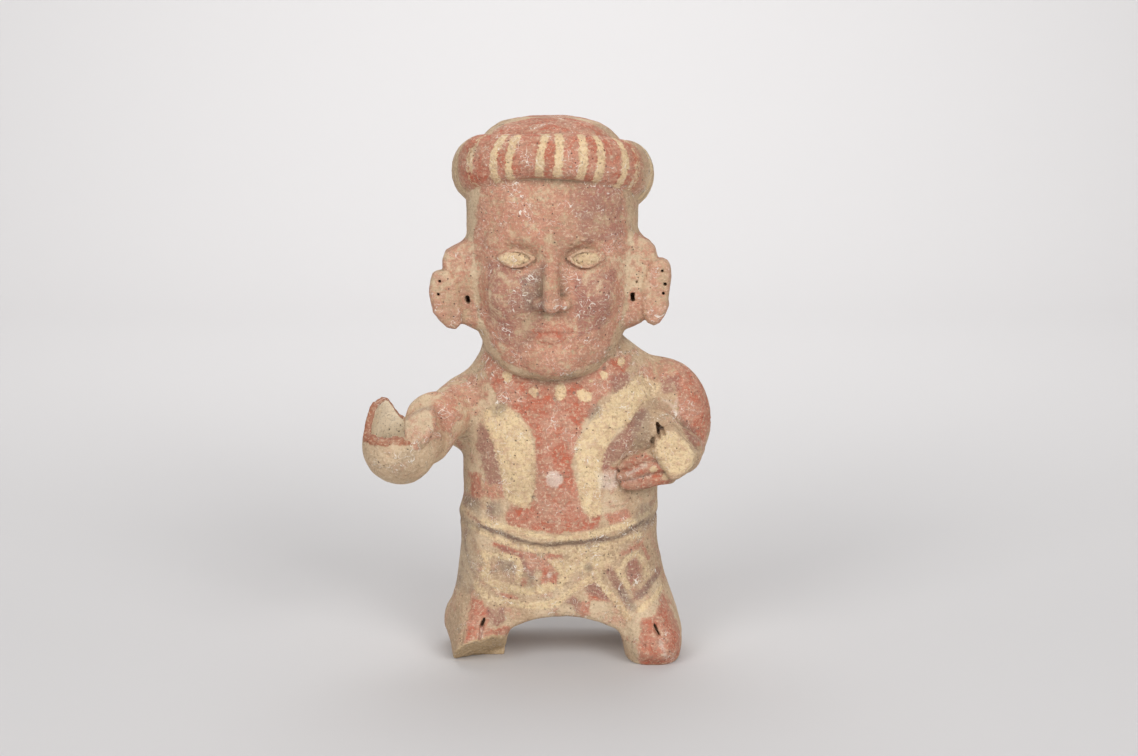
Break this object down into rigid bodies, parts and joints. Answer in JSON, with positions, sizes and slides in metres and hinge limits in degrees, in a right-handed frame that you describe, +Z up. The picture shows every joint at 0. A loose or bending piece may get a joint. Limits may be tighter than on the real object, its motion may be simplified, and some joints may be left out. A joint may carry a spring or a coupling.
{
  "type": "pottery figure",
  "caption": "Standing hand-built pottery figure in a rolled turban, ear ornaments, short shirt and skirt, one hand on the belly and the other holding a small broken cup.",
  "frame": {"origin": "middle of the figure's box, on the surface that the feet stand on", "axes": "+Z up, the face and toes point to -Y, +X towards the figure's left arm"},
  "size_m": [0.1898, 0.1104, 0.2975],
  "materials": {
    "painted_fired_clay": "matt fired clay with worn red, cream and grey slip"
  },
  "bodies": {
    "root": {"pottery_figure": "painted_fired_clay"}
  },
  "joints": []
}
